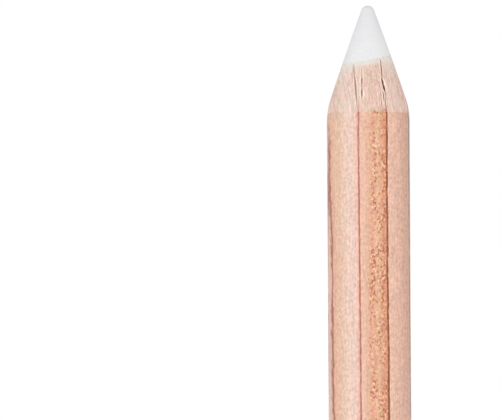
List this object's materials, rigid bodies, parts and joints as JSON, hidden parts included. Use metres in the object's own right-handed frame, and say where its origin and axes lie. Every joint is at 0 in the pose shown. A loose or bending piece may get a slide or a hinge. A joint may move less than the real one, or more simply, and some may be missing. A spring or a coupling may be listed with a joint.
{
  "type": "fabric marking pencil",
  "caption": "Round wood-cased white chalk pencil for marking fabric, with a sharpened conical point and a white lacquer dip on its blunt end.",
  "frame": {"origin": "centre of the flat white end face that the pencil stands on", "axes": "+Z along the pencil from the blunt end to the point; -Y is the front, square to the glue line, which is parallel to the XZ plane; +X is to the right seen from the front"},
  "size_m": [0.0076, 0.0076, 0.175],
  "materials": {
    "wood": "pale pinkish straight-grained softwood, cut raw on the cone",
    "glue": "thin hardened wood glue",
    "chalk": "matt white pressed chalk",
    "varnish": "thin clear satin varnish over wood",
    "lacquer": "smooth white dipped lacquer",
    "ink": "thin dark brown-grey printing ink"
  },
  "bodies": {
    "root": {"slat_front": "wood", "slat_back": "wood", "glue_left": "glue", "glue_right": "glue", "core": "chalk", "core_bond": "glue", "varnish": "varnish", "end_dip": "lacquer"}
  },
  "joints": []
}
